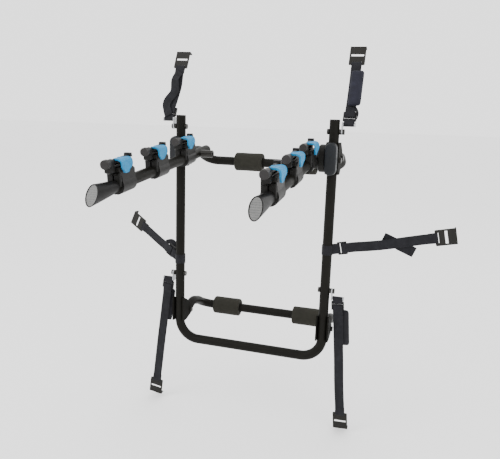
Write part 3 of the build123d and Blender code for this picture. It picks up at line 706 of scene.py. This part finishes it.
bpy.ops.object.select_all(action="DESELECT")
bpy.ops.mesh.primitive_grid_add(x_subdivisions=8, y_subdivisions=48, size=1)
saddle = bpy.context.object
for vertex in saddle.data.vertices:
    across, along = vertex.co.x, vertex.co.y
    ribs = 0.35 * math.cos(along * 9 * 2 * math.pi)
    hollow = 1.6 * (1 - 4 * across * across)
    height = saddle_top - hollow + ribs
    reach = along * saddle_length + saddle_middle
    vertex.co = Vector((across * saddle_width, reach, height)) * mm
finished(saddle, ("SOLIDIFY", {"thickness": 1.6 * mm, "offset": -1, "use_rim": True}))
for cradle in cradles:
    seat = bpy.data.objects.new("cradle_saddle_" + cradle, saddle.data.copy())
    seat.data.transform(cradle_place(cradle))
    seat.data.materials.append(cradle_plastic)
    bpy.context.scene.collection.objects.link(seat)
    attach(seat, cradle.split("_")[0] + "_arm")
bpy.data.objects.remove(saddle)

# Jaws. Each cradle closes with a soft blue moulding on a black barrel round the shaft: a
# shield that arches over the bicycle's tube and narrows to a round tip, with a raised rim at
# its edges. A black T-shaped pull on the end of its stem lifts it.
blue = bpy.data.materials.new("jaw_blue")
made, links, shader = node_group(blue)
where = made.new("ShaderNodeTexCoord")
cloud = made.new("ShaderNodeTexNoise")
cloud.inputs["Scale"].default_value = 90
cloud.inputs["Detail"].default_value = 4
links.new(where.outputs["Object"], cloud.inputs["Vector"])
tint = made.new("ShaderNodeValToRGB")
tint.color_ramp.elements[0].position = 0.3
tint.color_ramp.elements[0].color = (0.004, 0.14, 0.3, 1)
tint.color_ramp.elements[1].position = 0.75
tint.color_ramp.elements[1].color = (0.007, 0.185, 0.37, 1)
links.new(cloud.outputs["Fac"], tint.inputs["Fac"])
links.new(tint.outputs["Color"], shader.inputs["Base Color"])
grain = made.new("ShaderNodeTexNoise")
grain.inputs["Scale"].default_value = 1100
links.new(where.outputs["Object"], grain.inputs["Vector"])
bump = made.new("ShaderNodeBump")
bump.inputs["Strength"].default_value = 0.3
bump.inputs["Distance"].default_value = 0.15 * mm
links.new(grain.outputs["Fac"], bump.inputs["Height"])
links.new(bump.outputs["Normal"], shader.inputs["Normal"])
shader.inputs["Roughness"].default_value = 0.6
shader.inputs["Specular IOR Level"].default_value = 0.25
shader.inputs["Subsurface Weight"].default_value = 0.05
shader.inputs["Subsurface Radius"].default_value = (0.002, 0.003, 0.004)
pull_plastic = coated("pull_plastic", (0.00432, 0.00432, 0.00504), (0.00792, 0.00792, 0.00864),
                      0.45, 0.8 * mm, 0.1 * mm)
shaft_height = 53
jaw_length = 44
jaw_middle = -20
jaw_back = jaw_middle + jaw_length / 2
barrel_radius = 7
barrel_wall = 3.9
stem_radius = 4.5
stem_length = 24.6
pull_from_jaw = 29.1
pull_neck = (9 * mm, 9 * mm, 7 * mm)
pull_bar_height = 8.6 * mm
pull_spread = 1.9
root_half = 9.0
widest_half = 22.0
tip_half = 10.5
crown_share = 0.48
side_share = 0.72
tip_share = 0.93


def jaw_flap():
    """The crown and flap: a sheet bent over the profile, wide at its crown and round-tipped."""
    profile = [(-1, 60.4), (3, 60.6), (10, 60.9), (19, 61.6), (26.5, 58), (28, 48), (26.2, 39),
               (24.5, 29.5)]
    points = spline_points([Vector((x, 0, z)) for x, z in profile])
    travelled = [0.0]
    for a, b in zip(points, points[1:]):
        travelled.append(travelled[-1] + (b - a).length)
    total = travelled[-1]
    rows, columns = 84, 32
    bpy.ops.object.select_all(action="DESELECT")
    bpy.ops.mesh.primitive_grid_add(x_subdivisions=columns, y_subdivisions=rows, size=2)
    flap = bpy.context.object
    for vertex in flap.data.vertices:
        across = vertex.co.x
        share = (vertex.co.y + 1) / 2
        reach = share * total
        step = max(number for number, far in enumerate(travelled[:-1]) if far <= reach + 1e-9)
        span = travelled[step + 1] - travelled[step]
        blend = (reach - travelled[step]) / span if span else 0.0
        on_line = points[step].lerp(points[step + 1], blend)
        along = (points[step + 1] - points[step]).normalized()
        out = Vector((-along.z, 0, along.x))
        if share < crown_share:
            ease = share / crown_share
            half = root_half + (widest_half - root_half) * math.sin(ease * math.pi / 2)
        elif share < side_share:
            half = widest_half
        elif share < tip_share:
            ease = (share - side_share) / (tip_share - side_share)
            half = widest_half - (widest_half - tip_half) * ease * ease * (3 - 2 * ease)
        else:
            ease = (share - tip_share) / (1 - tip_share)
            half = tip_half * math.sqrt(max(1 - 0.86 * ease * ease, 0.0))
        edge = min((1 - abs(across)) * half, (1 - share) * total, 3.0)
        rim = 0.9 if edge < 1.6 else 0.9 * max(0.0, (2.8 - edge) / 1.2)
        rib = sum(0.6 * max(0.0, 1 - abs(share - place) * 55) for place in (0.5, 0.58, 0.66))
        rib *= 1.0 if abs(across) < 0.62 else 0.0
        vertex.co = on_line + out * (rim + rib) + Vector((0, jaw_middle - across * half, 0))
    flap.data.transform(Matrix.Scale(mm, 4))
    return flap


flap = jaw_flap()
shell = {"thickness": 4.2 * mm, "offset": -1, "use_rim": True}
soften = {"width": 0.7 * mm, "segments": 2, "limit_method": "ANGLE"}
finished(flap, ("SOLIDIFY", shell), ("BEVEL", soften))
bpy.ops.object.select_all(action="DESELECT")
bpy.ops.mesh.primitive_cylinder_add(
    vertices=48, radius=barrel_radius * mm, depth=(jaw_length - 0.4) * mm, end_fill_type="NOTHING"
)
barrel = bpy.context.object
along_arm = Matrix.Rotation(math.radians(90), 4, "X")
barrel_place = Vector((0, jaw_middle, shaft_height)) * mm
barrel.data.transform(Matrix.Translation(barrel_place) @ along_arm)
bore = {"thickness": barrel_wall * mm, "offset": -1, "use_rim": True}
ends = {"width": 1 * mm, "segments": 3, "limit_method": "ANGLE"}
finished(barrel, ("SOLIDIFY", bore), ("BEVEL", ends))
bpy.ops.object.select_all(action="DESELECT")
bpy.ops.mesh.primitive_cylinder_add(
    vertices=32, radius=stem_radius * mm, depth=stem_length * mm, end_fill_type="NOTHING"
)
stem = bpy.context.object
stem_place = Vector((0, jaw_back + stem_length / 2, shaft_height)) * mm
stem.data.transform(Matrix.Translation(stem_place) @ along_arm)
finished(stem, ("SOLIDIFY", {"thickness": 1.4 * mm, "offset": -1, "use_rim": True}))
bpy.ops.object.select_all(action="DESELECT")
for piece in (stem, flap):
    piece.select_set(True)
bpy.context.view_layer.objects.active = flap
bpy.ops.object.join()
flap.data.materials.clear()
flap.data.materials.append(blue)

bpy.ops.object.select_all(action="DESELECT")
bpy.ops.mesh.primitive_cube_add(size=1)
pull = bpy.context.object
pull.data.transform(Matrix.Diagonal((*pull_neck, 1)))
bpy.ops.object.mode_set(mode="EDIT")
bpy.ops.mesh.select_all(action="DESELECT")
shape = bmesh.from_edit_mesh(pull.data)
for face in shape.faces:
    face.select = face.normal.z > 0.9
bmesh.update_edit_mesh(pull.data)
bpy.ops.mesh.extrude_region_move(TRANSFORM_OT_translate={"value": (0, 0, 0.2 * mm)})
bpy.ops.transform.resize(value=(pull_spread, 1.0, 1.0))
bpy.ops.mesh.extrude_region_move(TRANSFORM_OT_translate={"value": (0, 0, pull_bar_height)})
bpy.ops.transform.resize(value=(0.92, 0.86, 1.0))
bpy.ops.object.mode_set(mode="OBJECT")
pull_place = Vector((0, jaw_back + pull_from_jaw, shaft_height - 1.1)) * mm
pull.data.transform(Matrix.Translation(pull_place))
rounded = {"width": 1.6 * mm, "segments": 4, "limit_method": "ANGLE"}
finished(pull, ("BEVEL", rounded))
for piece in (pull, barrel):
    piece.data.materials.clear()
    piece.data.materials.append(pull_plastic)

for cradle in cradles:
    for pattern, kind, slot in (
        (flap, "jaw_flap_", "blue_rubber"),
        (barrel, "jaw_barrel_", "black_plastic"),
        (pull, "jaw_pull_", "black_plastic"),
    ):
        piece = bpy.data.objects.new(kind + cradle, pattern.data.copy())
        piece.data.transform(cradle_place(cradle))
        bpy.context.scene.collection.objects.link(piece)
        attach(piece, cradle.replace("_", "_jaw_"))
        if pattern is flap:
            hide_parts("jaw_" + cradle)
for pattern in (flap, barrel, pull):
    bpy.data.objects.remove(pattern)

# Studio. A plain pale floor under the lowest hooks, a bright even surround, and three large
# soft lamps: one high on the left, one on the right and one behind.
floor_height = -0.802
bpy.ops.object.select_all(action="DESELECT")
bpy.ops.mesh.primitive_plane_add(size=120, location=(0, 0, floor_height))
floor = bpy.context.object
floor.name = "floor"
floor_paint = bpy.data.materials.new("floor_paint")
made, links, shader = node_group(floor_paint)
shader.inputs["Base Color"].default_value = (0.93, 0.93, 0.93, 1)
shader.inputs["Roughness"].default_value = 0.9
floor.data.materials.append(floor_paint)
world = bpy.data.worlds.new("surround")
bpy.context.scene.world = world
world.use_nodes = True
world.node_tree.nodes["Background"].inputs["Color"].default_value = (1, 1, 1, 1)
world.node_tree.nodes["Background"].inputs["Strength"].default_value = 2.1


def lamp(name, place, towards, size, power):
    """A square softbox that shines from its place towards a point."""
    light = bpy.data.lights.new(name, "AREA")
    light.size = size
    light.energy = power
    holder = bpy.data.objects.new(name, light)
    facing = (Vector(towards) - Vector(place)).to_track_quat("-Z", "Y")
    holder.matrix_world = Matrix.Translation(place) @ facing.to_matrix().to_4x4()
    bpy.context.scene.collection.objects.link(holder)


rack_middle = (0, -0.2, -0.2)
lamp("lamp_left", (-2.2, -2.6, 2.2), rack_middle, 1.6, 55)
lamp("lamp_right", (2.6, -2.0, 1.4), rack_middle, 1.6, 25)
lamp("lamp_behind", (0.5, 2.8, 2.4), rack_middle, 1.6, 8)
